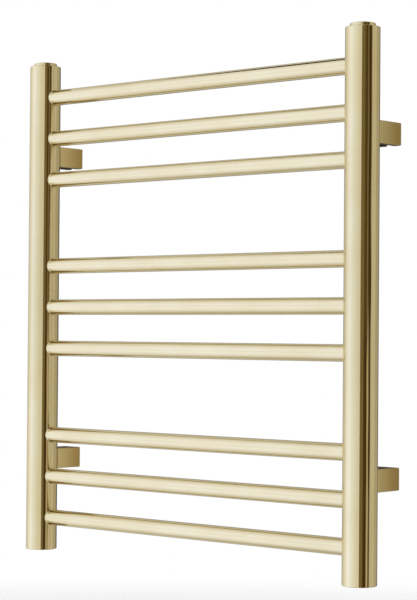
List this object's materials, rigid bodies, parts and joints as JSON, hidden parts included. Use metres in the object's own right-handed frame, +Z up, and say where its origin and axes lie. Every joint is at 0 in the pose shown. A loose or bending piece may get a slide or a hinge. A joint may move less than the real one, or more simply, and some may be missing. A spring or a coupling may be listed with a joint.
{
  "type": "towel warmer rack",
  "caption": "Hot-water ladder towel warmer for a wall: two round uprights, straight cross tubes in groups, round top covers and box wall brackets.",
  "frame": {"origin": "on the wall, midway between the four wall sockets", "axes": "+X to the right for somebody facing the warmer, +Y into the wall, +Z up"},
  "size_m": [0.53, 0.072, 0.6041],
  "materials": {
    "polished_gold": "polished pale champagne gold plating over metal tube",
    "brass_fitting": "turned brass, as machined",
    "nickel_plate": "satin nickel plate",
    "plain_steel": "machined steel, dull",
    "screw_steel": "dark oiled steel",
    "black_rubber": "matt black rubber"
  },
  "bodies": {
    "wall_fixing": {"wall_socket_upper_left": "plain_steel", "wall_socket_upper_right": "plain_steel", "wall_socket_lower_left": "plain_steel", "wall_socket_lower_right": "plain_steel"},
    "rack": {"upright_left": "polished_gold", "upright_right": "polished_gold", "crossbar_1": "polished_gold", "crossbar_2": "polished_gold", "crossbar_3": "polished_gold", "crossbar_4": "polished_gold", "crossbar_5": "polished_gold", "crossbar_6": "polished_gold", "crossbar_7": "polished_gold", "crossbar_8": "polished_gold", "crossbar_9": "polished_gold", "port_boss_left": "brass_fitting", "top_boss_left": "polished_gold", "plug_washer_left": "black_rubber", "cover_grip_ring_left": "black_rubber", "port_boss_right": "brass_fitting", "top_boss_right": "polished_gold", "plug_washer_right": "black_rubber", "cover_grip_ring_right": "black_rubber", "blanking_plug": "nickel_plate", "air_vent_body": "nickel_plate", "bracket_sleeve_upper_left": "polished_gold", "bracket_peg_upper_left": "plain_steel", "bracket_sleeve_upper_right": "polished_gold", "bracket_peg_upper_right": "plain_steel", "bracket_sleeve_lower_left": "polished_gold", "bracket_peg_lower_left": "plain_steel", "bracket_sleeve_lower_right": "polished_gold", "bracket_peg_lower_right": "plain_steel"},
    "grub_screw_upper_left": {"grub_screw_upper_left": "screw_steel"},
    "grub_screw_upper_right": {"grub_screw_upper_right": "screw_steel"},
    "grub_screw_lower_left": {"grub_screw_lower_left": "screw_steel"},
    "grub_screw_lower_right": {"grub_screw_lower_right": "screw_steel"},
    "top_cover_left": {"top_cover_left": "polished_gold"},
    "top_cover_right": {"top_cover_right": "polished_gold"},
    "bleed_screw": {"bleed_screw": "screw_steel"}
  },
  "joints": [
    {"name": "rack_standoff", "type": "slide", "parent": "wall_fixing", "child": "rack", "axis": [0, -1, 0], "range_m": [0, 0.01]},
    {"name": "cover_left_pull", "type": "slide", "parent": "rack", "child": "top_cover_left", "axis": [0, 0, 1], "range_m": [0, 0.02]},
    {"name": "cover_right_pull", "type": "slide", "parent": "rack", "child": "top_cover_right", "axis": [0, 0, 1], "range_m": [0, 0.02]},
    {"name": "bleed_screw_turn", "type": "hinge", "parent": "rack", "child": "bleed_screw", "pos_m": [0.246, -0.053, 0.3], "axis": [0, 0, 1], "range_deg": [0, 540]},
    {"name": "grub_upper_left_turn", "type": "hinge", "parent": "wall_fixing", "child": "grub_screw_upper_left", "pos_m": [-0.246, -0.019, 0.178], "axis": [0, 0, -1], "range_deg": [0, 540]},
    {"name": "grub_upper_right_turn", "type": "hinge", "parent": "wall_fixing", "child": "grub_screw_upper_right", "pos_m": [0.246, -0.019, 0.178], "axis": [0, 0, -1], "range_deg": [0, 540]},
    {"name": "grub_lower_left_turn", "type": "hinge", "parent": "wall_fixing", "child": "grub_screw_lower_left", "pos_m": [-0.246, -0.019, -0.198], "axis": [0, 0, -1], "range_deg": [0, 540]},
    {"name": "grub_lower_right_turn", "type": "hinge", "parent": "wall_fixing", "child": "grub_screw_lower_right", "pos_m": [0.246, -0.019, -0.198], "axis": [0, 0, -1], "range_deg": [0, 540]}
  ]
}
